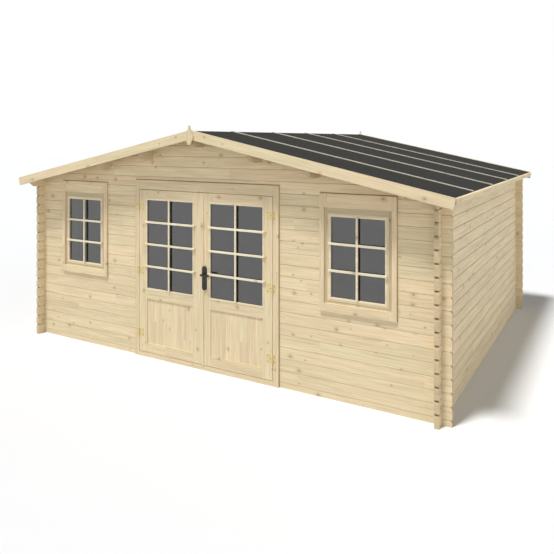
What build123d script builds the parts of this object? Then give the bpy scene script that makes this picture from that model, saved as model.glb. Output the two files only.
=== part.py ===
"""A garden log cabin with a double door and two windows, as separate construction pieces.

Millimetres. X runs along the front, +Y from the front to the back and +Z up. The origin is
on the ground, under the middle of the roof.
"""

import os
from math import cos, radians, sin, tan

from build123d import *

# Log walls
PITCH = 114.0  # height of one course of logs
WALL = 40.0  # thickness of a log
SIDE_COURSES = 17  # whole logs in a side wall; front and rear walls start with a half log
WIDTH = 4980.0  # over the outer faces of the side walls
DEPTH = 4100.0  # over the outer faces of the front and rear walls
CORNER = 88.0  # log ends beyond the crossing wall
TONGUE = 8.0  # tapered tongue on top of each log
LOG_BEVEL = 6.0  # bevel along a log's upper outer edge
END_CUT = 15.0  # depth of the V cut between log ends
END_RISE = 11.0  # height of a log end's lower bevel
END_FALL = 22.0  # height of a log end's upper bevel
SEAT = 0.3  # gap between pieces that rest against each other

# Roof
SLOPE = radians(12.0)
ROOF_FRONT = 215.0  # front wall to the outer face of its bargeboards
ROOF_REAR = 255.0  # rear wall to the outer face of its bargeboards
EAVE = 170.0  # side wall to the end of the roof
DECK = 18.0
FELT = 3.0
BARGE_THICK = 20.0
BARGE_HEIGHT = 97.0  # plumb height of a bargeboard
BARGE_LIP = 8.0  # plumb height of a bargeboard above the felt
STRIP_THICK = 20.0  # eave strip
STRIP_HEIGHT = 45.0
PURLIN_WIDTH = 45.0
PURLIN_HEIGHT = 145.0
PURLIN_ROUND = 60.0  # rounded lower end of a purlin
PURLINS = (700.0, 1330.0)  # middles of the side purlins from the ridge
BATTEN_WIDTH = 24.0
BATTEN_THICK = 8.0
BATTEN_FIRST = 560.0  # front wall to the middle of the first felt batten
BATTEN_PITCH = 910.0
BATTENS = 4
BATTEN_END = 30.0  # end of the roof to the end of a batten
TOP_LOG_CUT = 66.0  # lower corner cut off the long top log of a side wall
TOP_LOG_RISE = 48.0
FINIAL_THICK = 20.0
FINIAL_HEIGHT = 194.0
FINIAL_WIDTH = 114.0
FINIAL_ABOVE = 44.0  # finial tip above the bargeboards' peak
FINIAL_BELLY = 89.0  # finial foot to its widest place
FINIAL_ROUND = 20.0  # rounding at its widest place
FINIAL_TIP = 18.0
FINIAL_SPIKE = 27.0
FINIAL_FOOT = 28.0

# Floor
BEARER = 44.0
BEARERS = 8
FLOOR = 18.0

# Door
LEAF_HALF = 858.0  # middle of the door to a leaf's hinge edge
LEAF_FOOT = 55.0
HEAD_CLEAR = 36.0  # top of the leaves to the log over the door
LEAF_THICK = 40.0
LEAF_GAP = 5.0  # running gap round the leaves
STILE = 113.0
TOP_RAIL = 110.0
MID_RAIL = 120.0
BOTTOM_RAIL = 101.0
PANEL_HEIGHT = 487.0  # visible height of the boarded panel
PANEL_THICK = 14.0
PANEL_BACK = 9.0  # leaf's face to the panel's face
PANEL_BOARD = 90.0  # width of one board of the panel
PANEL_GROOVE = 3.0
GLASS = 4.0
DOOR_GLASS_BACK = 10.0  # leaf's face to the glass
REBATE = 8.0  # depth that glass and panels reach into their frames
REBATE_GAP = 0.5
TRIM = 20.0  # trim boards in front of the wall
JAMB_FACE = 60.0  # width of a door jamb's front
HEAD_RISE = 72.0  # lower edge of the log over the door to the top of the door head
JAMB_WEB = 16.0
LINING_BACK = 18.0  # frame linings past the inside of the wall
STOP = 15.0  # leaf's edge covered by its stop
SILL_FRONT = 50.0  # height of the threshold in front
MEETING_WIDTH = 30.0
MEETING_THICK = 9.0

# Hinges
HINGE_FOOT = 211.0  # foot of a leaf to the middle of its lowest hinge
HINGE_HEAD = 185.0  # top of a leaf to the middle of its highest hinge
HINGE_HEIGHT = 82.0
HINGE_RADIUS = 7.0
HINGE_PIN = 3.5
HINGE_PLATE = 2.5
HINGE_LEAF = 58.0  # width of the plate on the door leaf
HINGE_JAMB = 20.0  # width of the plate on the jamb
PIN_GAP = 0.08  # running clearance round hinge pins
HINGE_GAP = 0.5  # clearance between hinge halves

# Handle
HANDLE_X = 43.0  # middle of the door to the handle
PLATE_BELOW = 167.0  # spindle to the foot of a handle plate
PLATE_HEIGHT = 250.0
PLATE_WIDTH = 52.0
PLATE_THICK = 8.0
PLATE_LAP = 5.0  # outer plate in front of the meeting strip
SPINDLE_HEIGHT = 1003.0
SPINDLE = 4.0  # radius
BOSS = 11.0  # radius
BOSS_LENGTH = 58.0
LEVER_LENGTH = 108.0
LEVER_HEIGHT = 20.0
LEVER_THICK = 13.0
SPINDLE_GAP = 1.0

# Windows
WINDOW_CORNER = 755.0  # outer face of a side wall to the middle of a window
WINDOW_GLASS = 524.0  # visible width
WINDOW_LOW = 946.0  # lower edge of the visible glass
WINDOW_GLASS_HEIGHT = 743.0
SASH_SIDE = 34.0  # visible width of the sash beside the glass
SASH_TOP = 31.0
SASH_FOOT = 32.0
SASH_THICK = 34.0
SASH_PROUD = 4.0  # sash in front of its lining
WINDOW_GLASS_BACK = 14.0  # sash face to the glass
LINING_SIDE = 36.0  # thickness of a window lining at its sides
LINING_HEAD = 57.0
LINING_SHOW = 25.0  # lining seen under the sash
TRIM_LAP = 4.0  # window trim over the lining
TRIM_SIDE = 44.0
TRIM_HEAD = 129.0
TRIM_FOOT = 77.0
WINDOW_COURSES = (7, 15)  # front courses cut by a window, first and past the last
WINDOW_HEAD = 0.25  # share of the next course that the window cuts

# Derived places
FRONT = -(DEPTH + ROOF_REAR - ROOF_FRONT) / 2
REAR = FRONT + DEPTH
SIDE = WIDTH / 2
EAVE_X = SIDE + EAVE
HALF_LOG = PITCH / 2
SIDE_TOP = SIDE_COURSES * PITCH
FRONT_COURSES = SIDE_COURSES - 1
DOOR_TOP = HALF_LOG + FRONT_COURSES * PITCH
RIDGE = SIDE_TOP + SIDE * tan(SLOPE)
ROOF_START = FRONT - ROOF_FRONT + BARGE_THICK
ROOF_END = REAR + ROOF_REAR - BARGE_THICK
ROOF_MIDDLE = (ROOF_START + ROOF_END) / 2
ROOF_LENGTH = ROOF_END - ROOF_START - 2 * SEAT
FELT_TOP = (DECK + FELT) / cos(SLOPE) + SEAT
BARGE_PEAK = RIDGE + FELT_TOP + BARGE_LIP
LEAF_FACE = FRONT - TRIM
LEAF_BACK = LEAF_FACE + LEAF_THICK
LEAF_TOP = DOOR_TOP - HEAD_CLEAR
LEAF_HEIGHT = LEAF_TOP - LEAF_FOOT
JAMB_TOP = DOOR_TOP + HEAD_RISE
JAMB_INNER = LEAF_HALF + LEAF_GAP
JAMB_OUTER = JAMB_INNER + JAMB_FACE
DOOR_HALF = JAMB_INNER + JAMB_WEB + SEAT
HINGE_X = LEAF_HALF + LEAF_GAP / 2
HINGE_Y = LEAF_FACE - HINGE_RADIUS
HINGE_HEIGHTS = (LEAF_FOOT + HINGE_FOOT, (LEAF_FOOT + LEAF_TOP) / 2, LEAF_TOP - HINGE_HEAD)
HANDLE_LOW = SPINDLE_HEIGHT - PLATE_BELOW
LINING_END = FRONT + WALL + LINING_BACK
WINDOW_X = SIDE - WINDOW_CORNER


def roof_plane(height):
    """Plane along the right-hand slope, this far above the roof deck's underside."""
    return Plane(
        origin=(0, 0, RIDGE),
        x_dir=(cos(SLOPE), 0, -sin(SLOPE)),
        z_dir=(sin(SLOPE), 0, cos(SLOPE)),
    ).offset(height)


def mirrored(piece):
    """The left-hand counterpart of a right-hand piece."""
    with BuildPart() as left:
        mirror(piece.part, about=Plane.YZ)
    return left


def cut_to_roof(both_slopes=True):
    """Cut the current piece off just under the roof deck."""
    split(bisect_by=roof_plane(-SEAT), keep=Keep.BOTTOM)
    if both_slopes:
        left_plane = Plane(
            origin=(0, 0, RIDGE - SEAT / cos(SLOPE)), z_dir=(-sin(SLOPE), 0, cos(SLOPE))
        )
        split(bisect_by=left_plane, keep=Keep.BOTTOM)


def log_outline(height, out=1, groove=True):
    """Section of one log about its wall's mid plane, its bevelled side to +x or, with out -1, to -x."""
    side = out * WALL / 2
    top = height - SEAT
    with BuildSketch() as section:
        with BuildLine():
            Polyline(
                *([(0, TONGUE)] if groove else []),
                (side, 0),
                (side, top - LOG_BEVEL),
                (side - out * LOG_BEVEL, top),
                (0, top + TONGUE),
                (-side, top),
                (-side, 0),
                close=True,
            )
        make_face()
    return section.sketch


def end_cut(direction):
    """V cut between two log ends, in a sketch whose x points out of the wall."""
    with BuildSketch() as cut:
        with BuildLine():
            Polyline(
                (0, -END_FALL), (0, END_RISE), (-direction * END_CUT, 0), close=True
            )
        make_face()
    return cut.sketch


LOG = log_outline(PITCH)
FRONT_LOG = log_outline(PITCH, out=-1)


# Side walls: whole logs from the ground up, the top one running on under the overhangs
side_length = DEPTH + 2 * CORNER
side_joints = [k * PITCH for k in range(1, SIDE_COURSES)]
with BuildPart() as right_wall_logs:
    with BuildSketch(Plane.XZ.offset(-(REAR + CORNER))):
        with Locations((SIDE - WALL / 2, 0)):
            add(log_outline(PITCH, groove=False))
        with Locations(*[(SIDE - WALL / 2, k * PITCH) for k in range(1, SIDE_COURSES - 1)]):
            add(LOG)
    extrude(amount=side_length)
    with BuildSketch(Plane.XZ.offset(-ROOF_END + SEAT)):
        with Locations((SIDE - WALL / 2, SIDE_TOP - PITCH)):
            add(log_outline(PITCH + WALL))
    extrude(amount=ROOF_LENGTH)
    # Quarter notches where the front and rear logs cross
    with Locations(
        *[
            (SIDE - WALL / 2, y, k * PITCH)
            for y in (FRONT + WALL / 2, REAR - WALL / 2)
            for k in range(SIDE_COURSES + 1)
        ]
    ):
        Box(WALL, WALL + 2 * SEAT, HALF_LOG + SEAT, mode=Mode.SUBTRACT)
    # V cuts between the log ends
    with BuildSketch(Plane.YZ.offset(SIDE - WALL)):
        with Locations(*[(FRONT - CORNER, z) for z in side_joints]):
            add(end_cut(-1))
        with Locations(*[(REAR + CORNER, z) for z in side_joints]):
            add(end_cut(1))
    extrude(amount=WALL, mode=Mode.SUBTRACT)
    # Lower corners of the long top log
    with BuildSketch(Plane.YZ.offset(SIDE - WALL)):
        for end, way in ((ROOF_START + SEAT, 1), (ROOF_END - SEAT, -1)):
            with BuildLine():
                Polyline(
                    (end, SIDE_TOP - PITCH),
                    (end, SIDE_TOP - PITCH + TOP_LOG_RISE),
                    (end + way * TOP_LOG_CUT, SIDE_TOP - PITCH),
                    close=True,
                )
            make_face()
    extrude(amount=WALL, mode=Mode.SUBTRACT)
    cut_to_roof(both_slopes=False)
left_wall_logs = mirrored(right_wall_logs)


def notch_cross_wall(y, courses):
    """Quarter notches at the right-hand corner of a front or rear wall."""
    with Locations(*[(SIDE - WALL / 2, y, HALF_LOG + k * PITCH) for k in courses]):
        Box(WALL + 2 * SEAT, WALL, HALF_LOG + SEAT, mode=Mode.SUBTRACT)


def cut_cross_ends(y, joints):
    """V cuts between the right-hand log ends of a front or rear wall."""
    with BuildSketch(Plane.XZ.offset(-(y + WALL / 2))) as cuts:
        with Locations(*[(SIDE + CORNER, z) for z in joints]):
            add(end_cut(1))
    extrude(cuts.sketch, amount=WALL, mode=Mode.SUBTRACT)


cross_joints = [HALF_LOG + k * PITCH for k in range(FRONT_COURSES + 1)]

# Front wall beside the door: a half log, then whole logs, cut through for the window
front_mid = FRONT + WALL / 2
window_low = HALF_LOG + WINDOW_COURSES[0] * PITCH
window_high = HALF_LOG + (WINDOW_COURSES[1] + WINDOW_HEAD) * PITCH
lining_half = WINDOW_GLASS / 2 + SASH_SIDE + LINING_SIDE
with BuildPart() as front_wall_right_logs:
    with BuildSketch(Plane.YZ.offset(DOOR_HALF)):
        with Locations((front_mid, 0)):
            add(log_outline(HALF_LOG, out=-1, groove=False))
        with Locations(*[(front_mid, HALF_LOG + k * PITCH) for k in range(FRONT_COURSES)]):
            add(FRONT_LOG)
    extrude(amount=SIDE + CORNER - DOOR_HALF)
    with Locations((WINDOW_X, front_mid, (window_low + window_high) / 2)):
        Box(
            2 * (lining_half + SEAT),
            2 * WALL,
            window_high - window_low,
            mode=Mode.SUBTRACT,
        )
    notch_cross_wall(front_mid, range(FRONT_COURSES + 1))
    cut_cross_ends(front_mid, cross_joints)
front_wall_left_logs = mirrored(front_wall_right_logs)

# Top front log: whole over the door, under both slopes
with BuildPart() as front_top_log:
    with BuildSketch(Plane.YZ):
        with Locations((front_mid, DOOR_TOP)):
            add(FRONT_LOG)
    extrude(amount=SIDE + CORNER)
    notch_cross_wall(front_mid, (FRONT_COURSES,))
    cut_cross_ends(front_mid, (DOOR_TOP,))
    mirror(about=Plane.YZ)
    cut_to_roof()

# Rear wall: whole logs from corner to corner
rear_mid = REAR - WALL / 2
with BuildPart() as rear_wall_logs:
    with BuildSketch(Plane.YZ):
        with Locations((rear_mid, 0)):
            add(log_outline(HALF_LOG, groove=False))
        with Locations(
            *[(rear_mid, HALF_LOG + k * PITCH) for k in range(FRONT_COURSES + 1)]
        ):
            add(LOG)
    extrude(amount=SIDE + CORNER)
    notch_cross_wall(rear_mid, range(FRONT_COURSES + 1))
    cut_cross_ends(rear_mid, cross_joints)
    mirror(about=Plane.YZ)
    cut_to_roof()


def purlin_heights(middle):
    """Lower edge and top of the tallest corner of a purlin at this distance from the ridge."""
    upper = RIDGE - max(abs(middle) - PURLIN_WIDTH / 2, 0) * tan(SLOPE)
    return upper - PURLIN_HEIGHT, upper


def purlin(middle, gap=0.0):
    """One purlin, or with a gap the slot that it leaves in a gable."""
    low, high = purlin_heights(middle)
    with BuildPart() as beam:
        with BuildSketch(Plane.XY.offset(low - gap)):
            with Locations((middle, ROOF_MIDDLE)):
                Rectangle(PURLIN_WIDTH + 2 * gap, ROOF_LENGTH)
        extrude(amount=high - low + gap)
        if not gap:
            ends = beam.edges().filter_by(Axis.X).group_by(Axis.Z)[0]
            fillet(ends, PURLIN_ROUND)
            cut_to_roof()
    return beam.part


def gable(y, log):
    """Gable logs above a wall's top log, cut to both slopes and housed for the purlins."""
    first = DOOR_TOP + PITCH
    courses = int((RIDGE - first) / PITCH) + 1
    with BuildPart() as wall:
        with BuildSketch(Plane.YZ.offset(-SIDE)):
            with Locations(*[(y, first + k * PITCH) for k in range(courses)]):
                add(log)
        extrude(amount=WIDTH)
        cut_to_roof()
        for middle in (0.0, *PURLINS, *[-x for x in PURLINS]):
            add(purlin(middle, SEAT), mode=Mode.SUBTRACT)
    return wall


front_gable_logs = gable(front_mid, FRONT_LOG)
rear_gable_logs = gable(rear_mid, LOG)

# Purlins from bargeboard to bargeboard
with BuildPart() as ridge_purlin:
    add(purlin(0.0))
with BuildPart() as right_purlins:
    for middle in PURLINS:
        add(purlin(middle))
left_purlins = mirrored(right_purlins)

# Roof deck, felt and felt battens of the right-hand slope, mitred at the ridge
slope_length = (EAVE_X - STRIP_THICK - SEAT) / cos(SLOPE)


def slope_sheet(height, thickness):
    """A sheet over the whole right-hand slope, from the ridge to the eave strip."""
    plane = roof_plane(height)
    with BuildPart() as sheet:
        with BuildSketch(plane):
            with Locations((slope_length / 2, ROOF_MIDDLE)):
                Rectangle(2 * slope_length, ROOF_LENGTH)
        extrude(amount=thickness)
        split(bisect_by=Plane.YZ.offset(SEAT / 2), keep=Keep.TOP)
        split(bisect_by=Plane.YZ.offset(EAVE_X - STRIP_THICK - SEAT), keep=Keep.BOTTOM)
    return sheet


right_roof_deck = slope_sheet(0, DECK)
left_roof_deck = mirrored(right_roof_deck)
right_roof_felt = slope_sheet(DECK + SEAT, FELT)
left_roof_felt = mirrored(right_roof_felt)

with BuildPart() as right_felt_battens:
    with BuildSketch(roof_plane(DECK + FELT + 2 * SEAT)):
        batten_length = (EAVE_X - BATTEN_END) / cos(SLOPE)
        with Locations(
            *[
                (batten_length / 2, FRONT + BATTEN_FIRST + k * BATTEN_PITCH)
                for k in range(BATTENS)
            ]
        ):
            Rectangle(batten_length, BATTEN_WIDTH)
    extrude(amount=BATTEN_THICK)
    split(bisect_by=Plane.YZ.offset(SEAT / 2), keep=Keep.TOP)
left_felt_battens = mirrored(right_felt_battens)

# Strip along each eave, between the bargeboards, level with the felt
strip_top = RIDGE + FELT_TOP - EAVE_X * tan(SLOPE)
with BuildPart() as right_eave_strip:
    with BuildSketch(Plane.XZ.offset(-(ROOF_END - SEAT))):
        with BuildLine():
            Polyline(
                (EAVE_X, strip_top),
                (EAVE_X, strip_top - STRIP_HEIGHT),
                (EAVE_X - STRIP_THICK, strip_top - STRIP_HEIGHT),
                (EAVE_X - STRIP_THICK, strip_top + STRIP_THICK * tan(SLOPE)),
                close=True,
            )
        make_face()
    extrude(amount=ROOF_LENGTH)
left_eave_strip = mirrored(right_eave_strip)


def bargeboards(outer):
    """Two boards mitred at the peak and cut square at the eaves, their front in the plane y = outer."""
    drop = EAVE_X * tan(SLOPE)
    thickness = BARGE_HEIGHT * cos(SLOPE)
    with BuildPart() as boards:
        with BuildSketch(Plane.XZ.offset(-outer)):
            with BuildLine():
                Polyline(
                    (SEAT / 2, BARGE_PEAK),
                    (EAVE_X, BARGE_PEAK - drop),
                    (EAVE_X - thickness * sin(SLOPE), BARGE_PEAK - drop - thickness * cos(SLOPE)),
                    (SEAT / 2, BARGE_PEAK - BARGE_HEIGHT),
                    close=True,
                )
            make_face()
        extrude(amount=-BARGE_THICK)
        mirror(about=Plane.YZ)
    return boards


front_bargeboards = bargeboards(FRONT - ROOF_FRONT)
rear_bargeboards = bargeboards(REAR + ROOF_REAR - BARGE_THICK)


def finial(outer):
    """Kite-shaped board with a short spike, over the joint of the bargeboards."""
    foot = BARGE_PEAK + FINIAL_ABOVE - FINIAL_HEIGHT
    half = FINIAL_WIDTH / 2
    with BuildPart() as board:
        with BuildSketch(Plane.XZ.offset(-outer)):
            with BuildLine():
                Polyline(
                    (0, foot),
                    (FINIAL_FOOT / 2, foot),
                    (half, foot + FINIAL_BELLY),
                    (FINIAL_TIP / 2, foot + FINIAL_HEIGHT - FINIAL_SPIKE),
                    (FINIAL_TIP / 2, foot + FINIAL_HEIGHT),
                    (0, foot + FINIAL_HEIGHT),
                )
                mirror(about=Plane.YZ)
            make_face()
        extrude(amount=-FINIAL_THICK)
        belly = board.edges().filter_by(Axis.Y)
        fillet([belly.sort_by(Axis.X)[0], belly.sort_by(Axis.X)[-1]], FINIAL_ROUND)
    return board


front_finial = finial(FRONT - ROOF_FRONT - FINIAL_THICK)
rear_finial = finial(REAR + ROOF_REAR)

# Floor: bearers from front to back under one boarded deck
floor_width = WIDTH - 2 * (WALL + SEAT)
floor_depth = DEPTH - 2 * (WALL + SEAT)
floor_middle = (FRONT + REAR) / 2
doorstep = LINING_END + SEAT
with BuildPart() as floor_bearers:
    with BuildSketch():
        with Locations((0, (doorstep + REAR - WALL - SEAT) / 2)):
            with GridLocations((floor_width - BEARER) / (BEARERS - 1), 0, BEARERS, 1):
                Rectangle(BEARER, REAR - WALL - SEAT - doorstep)
    extrude(amount=BEARER)
with BuildPart() as floor_deck:
    with BuildSketch(Plane.XY.offset(BEARER + SEAT)):
        with Locations((0, floor_middle)):
            Rectangle(floor_width, floor_depth)
        with Locations((0, doorstep)):
            Rectangle(
                2 * (JAMB_OUTER + SEAT),
                LINING_BACK + SEAT,
                mode=Mode.SUBTRACT,
                align=(Align.CENTER, Align.MAX),
            )
    extrude(amount=FLOOR)

# Door jambs: a channel round the log ends, with the stop behind the leaf
web_top = DOOR_TOP - 2 * SEAT
stop_y = LEAF_BACK + LEAF_GAP
with BuildPart() as right_jamb:
    with BuildSketch():
        with BuildLine():
            Polyline(
                (JAMB_INNER, LEAF_FACE),
                (JAMB_OUTER, LEAF_FACE),
                (JAMB_OUTER, FRONT - SEAT),
                (DOOR_HALF - SEAT, FRONT - SEAT),
                (DOOR_HALF - SEAT, FRONT + WALL + SEAT),
                (JAMB_OUTER, FRONT + WALL + SEAT),
                (JAMB_OUTER, LINING_END),
                (LEAF_HALF - STOP, LINING_END),
                (LEAF_HALF - STOP, stop_y),
                (JAMB_INNER, stop_y),
                close=True,
            )
        make_face()
    extrude(amount=web_top)
    with BuildSketch(Plane.XY.offset(web_top)):
        with Locations((JAMB_INNER, LEAF_FACE)):
            Rectangle(JAMB_FACE, TRIM - SEAT, align=(Align.MIN, Align.MIN))
    extrude(amount=JAMB_TOP - web_top)
with BuildPart() as door_jambs:
    add(right_jamb.part)
    mirror(about=Plane.YZ)


def door_cross_member(outline_front, outline_back):
    """A head or threshold: a front part between the jambs, a back part between the stops."""
    with BuildPart() as member:
        for half, outline in (
            (JAMB_INNER - SEAT, outline_front),
            (LEAF_HALF - STOP - SEAT, outline_back),
        ):
            with BuildSketch(Plane.YZ):
                with BuildLine():
                    Polyline(*outline, close=True)
                make_face()
            extrude(amount=half, both=True)
    return member


door_head_low = LEAF_TOP + LEAF_GAP
door_head = door_cross_member(
    (
        (LEAF_FACE, door_head_low),
        (LEAF_FACE, JAMB_TOP),
        (FRONT - SEAT, JAMB_TOP),
        (FRONT - SEAT, web_top),
        (stop_y, web_top),
        (stop_y, door_head_low),
    ),
    (
        (stop_y, LEAF_TOP - STOP),
        (stop_y, web_top),
        (LINING_END, web_top),
        (LINING_END, LEAF_TOP - STOP),
    ),
)
door_threshold = door_cross_member(
    ((LEAF_FACE, 0), (LEAF_FACE, SILL_FRONT), (stop_y, SILL_FRONT), (stop_y, 0)),
    (
        (stop_y, 0),
        (stop_y, LEAF_FOOT + STOP),
        (LINING_END, LEAF_FOOT + STOP),
        (LINING_END, 0),
    ),
)

# Door leaves: the right-hand one, with its left-hand counterpart mirrored from it
inner_edge = LEAF_GAP / 2
panel_low = LEAF_FOOT + BOTTOM_RAIL
panel_high = panel_low + PANEL_HEIGHT
glass_low = panel_high + MID_RAIL
glass_high = LEAF_TOP - TOP_RAIL
light_left = inner_edge + STILE
light_right = LEAF_HALF - STILE
light_middle = (light_left + light_right) / 2
light_width = light_right - light_left
glass_y = LEAF_FACE + DOOR_GLASS_BACK + GLASS / 2
panel_y = LEAF_FACE + PANEL_BACK + PANEL_THICK / 2


def infill(low, high, middle_y, thickness, gap=0.0):
    """Glass or panel reaching into its frame, or with a gap the groove for it."""
    reach = 2 * (REBATE - REBATE_GAP + gap)
    with BuildPart() as sheet:
        with Locations((light_middle, middle_y, (low + high) / 2)):
            Box(light_width + reach, thickness + 2 * gap, high - low + reach)
    return sheet


def cut_leaf_grooves():
    """Grooves for the glass and the panel in the current frame pieces."""
    add(infill(glass_low, glass_high, glass_y, GLASS, REBATE_GAP).part, mode=Mode.SUBTRACT)
    add(infill(panel_low, panel_high, panel_y, PANEL_THICK, REBATE_GAP).part, mode=Mode.SUBTRACT)


with BuildPart() as plain_stiles:
    with BuildSketch(Plane.XY.offset(LEAF_FOOT)):
        with Locations((inner_edge, LEAF_FACE), (light_right, LEAF_FACE)):
            Rectangle(STILE, LEAF_THICK, align=(Align.MIN, Align.MIN))
    extrude(amount=LEAF_HEIGHT)
    cut_leaf_grooves()
left_leaf_stiles = mirrored(plain_stiles)

spindle_middle = (HANDLE_X, (LEAF_FACE + LEAF_BACK) / 2, SPINDLE_HEIGHT)
with BuildPart() as right_leaf_stiles:
    add(plain_stiles.part)
    with Locations(Location(spindle_middle, (90, 0, 0))):
        Cylinder(SPINDLE + SPINDLE_GAP, 2 * LEAF_THICK, mode=Mode.SUBTRACT)

with BuildPart() as right_leaf_rails:
    with BuildSketch(Plane.XZ.offset(-LEAF_BACK)):
        with Locations((light_middle, LEAF_FOOT)):
            Rectangle(light_width - 2 * SEAT, BOTTOM_RAIL, align=(Align.CENTER, Align.MIN))
        with Locations((light_middle, panel_high)):
            Rectangle(light_width - 2 * SEAT, MID_RAIL, align=(Align.CENTER, Align.MIN))
        with Locations((light_middle, LEAF_TOP)):
            Rectangle(light_width - 2 * SEAT, TOP_RAIL, align=(Align.CENTER, Align.MAX))
    extrude(amount=LEAF_THICK)
    cut_leaf_grooves()
left_leaf_rails = mirrored(right_leaf_rails)

right_leaf_glass = infill(glass_low, glass_high, glass_y, GLASS)
left_leaf_glass = mirrored(right_leaf_glass)

boards = round(light_width / PANEL_BOARD)
with BuildPart() as right_leaf_panel:
    add(infill(panel_low, panel_high, panel_y, PANEL_THICK).part)
    # V grooves between the panel's boards
    with BuildSketch(Plane.XY.offset(panel_low - REBATE)):
        with Locations((light_middle, LEAF_FACE + PANEL_BACK)):
            with GridLocations(light_width / boards, 0, boards - 1, 1):
                Rectangle(PANEL_GROOVE, PANEL_GROOVE, rotation=45)
    extrude(amount=PANEL_HEIGHT + 2 * REBATE, mode=Mode.SUBTRACT)
left_leaf_panel = mirrored(right_leaf_panel)

with BuildPart() as meeting_strip:
    with BuildSketch(Plane.XY.offset(LEAF_FOOT)):
        with Locations((inner_edge, LEAF_FACE)):
            Rectangle(MEETING_WIDTH, MEETING_THICK, align=(Align.MIN, Align.MAX))
    extrude(amount=LEAF_HEIGHT)


def hinge_half(width, way):
    """Half of each hinge: a plate, a knuckle and the tab between them.

    way is -1 for the upper half, on the leaf, and +1 for the lower one with the pin, on the jamb.
    """
    knuckle = HINGE_HEIGHT / 2 - HINGE_GAP
    middle = -way * (HINGE_HEIGHT / 4 + HINGE_GAP / 2)
    plate_start = HINGE_RADIUS + HINGE_GAP
    with BuildPart() as half:
        for z in HINGE_HEIGHTS:
            with Locations((HINGE_X + way * (plate_start + width / 2), LEAF_FACE, z)):
                Box(width, HINGE_PLATE, HINGE_HEIGHT, align=(Align.CENTER, Align.MAX, Align.CENTER))
            with Locations((HINGE_X + way * plate_start / 2, LEAF_FACE, z + middle)):
                Box(plate_start, HINGE_PLATE, knuckle, align=(Align.CENTER, Align.MAX, Align.CENTER))
            with Locations((HINGE_X, HINGE_Y, z + middle)):
                Cylinder(HINGE_RADIUS, knuckle)
            with Locations((HINGE_X, HINGE_Y, z)):
                if way > 0:
                    Cylinder(HINGE_PIN, HINGE_HEIGHT)
                else:
                    Cylinder(HINGE_PIN + PIN_GAP, HINGE_HEIGHT, mode=Mode.SUBTRACT)
    return half


right_leaf_hinges = hinge_half(HINGE_LEAF, -1)
left_leaf_hinges = mirrored(right_leaf_hinges)
right_jamb_hinges = hinge_half(HINGE_JAMB, 1)
with BuildPart() as jamb_hinges:
    add(right_jamb_hinges.part)
    mirror(about=Plane.YZ)

# Handle: a long plate on each face, the outer one over the meeting strip, and two levers on a spindle
outer_plate = MEETING_THICK + SEAT + PLATE_LAP
with BuildPart() as handle_plates:
    for y, depth in ((LEAF_FACE, outer_plate), (LEAF_BACK, -PLATE_THICK)):
        with BuildSketch(Plane.XZ.offset(-y)):
            with Locations((HANDLE_X, HANDLE_LOW + PLATE_HEIGHT / 2)):
                SlotOverall(PLATE_HEIGHT, PLATE_WIDTH, rotation=90)
            with Locations((HANDLE_X, SPINDLE_HEIGHT)):
                Circle(SPINDLE + SPINDLE_GAP, mode=Mode.SUBTRACT)
        extrude(amount=depth)
    with BuildSketch(Plane.XY.offset(HANDLE_LOW)):
        with Locations((inner_edge, LEAF_FACE)):
            Rectangle(MEETING_WIDTH + SEAT, MEETING_THICK + SEAT, align=(Align.MIN, Align.MAX))
    extrude(amount=PLATE_HEIGHT, mode=Mode.SUBTRACT)

with BuildPart() as handle_lever:
    with BuildSketch(Plane.XZ.offset(-(LEAF_FACE - outer_plate - SPINDLE_GAP - BOSS_LENGTH))):
        with Locations((HANDLE_X, SPINDLE_HEIGHT)):
            Circle(SPINDLE)
    extrude(amount=-(LEAF_THICK + outer_plate + PLATE_THICK + 2 * (SPINDLE_GAP + BOSS_LENGTH)))
    for y, way in ((LEAF_FACE - outer_plate, 1), (LEAF_BACK + PLATE_THICK, -1)):
        with BuildSketch(Plane.XZ.offset(-y + way * SPINDLE_GAP)):
            with Locations((HANDLE_X, SPINDLE_HEIGHT)):
                Circle(BOSS)
        extrude(amount=way * BOSS_LENGTH)
        with BuildSketch(Plane.XZ.offset(-y + way * (SPINDLE_GAP + BOSS_LENGTH - LEVER_THICK))):
            with Locations((HANDLE_X + (LEVER_LENGTH - LEVER_HEIGHT) / 2, SPINDLE_HEIGHT)):
                SlotOverall(LEVER_LENGTH, LEVER_HEIGHT)
        extrude(amount=way * LEVER_THICK)

# Windows: the right-hand one, with its left-hand counterpart mirrored from it
inner_half = WINDOW_GLASS / 2 + SASH_SIDE
sash_low = WINDOW_LOW - SASH_FOOT
sash_high = WINDOW_LOW + WINDOW_GLASS_HEIGHT + SASH_TOP
lining_low = window_low + SEAT
lining_high = sash_high + LINING_HEAD
sash_y = FRONT - SASH_PROUD
window_glass_y = sash_y + WINDOW_GLASS_BACK + GLASS / 2


def ring(plane, low, high, half, side, foot, head, depth):
    """Four boards round an opening: two upright, and a foot and a head between them."""
    height = high - low
    with BuildPart() as boards_round:
        with BuildSketch(plane):
            with Locations((WINDOW_X - half, low), (WINDOW_X + half - side, low)):
                Rectangle(side, height, align=(Align.MIN, Align.MIN))
            with Locations((WINDOW_X, low)):
                Rectangle(2 * (half - side - SEAT), foot, align=(Align.CENTER, Align.MIN))
            with Locations((WINDOW_X, high)):
                Rectangle(2 * (half - side - SEAT), head, align=(Align.CENTER, Align.MAX))
        extrude(amount=depth)
    return boards_round


right_window_lining = ring(
    Plane.XZ.offset(-LINING_END),
    lining_low,
    lining_high,
    lining_half,
    LINING_SIDE,
    sash_low - lining_low,
    LINING_HEAD,
    LINING_END - FRONT,
)
left_window_lining = mirrored(right_window_lining)

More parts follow.
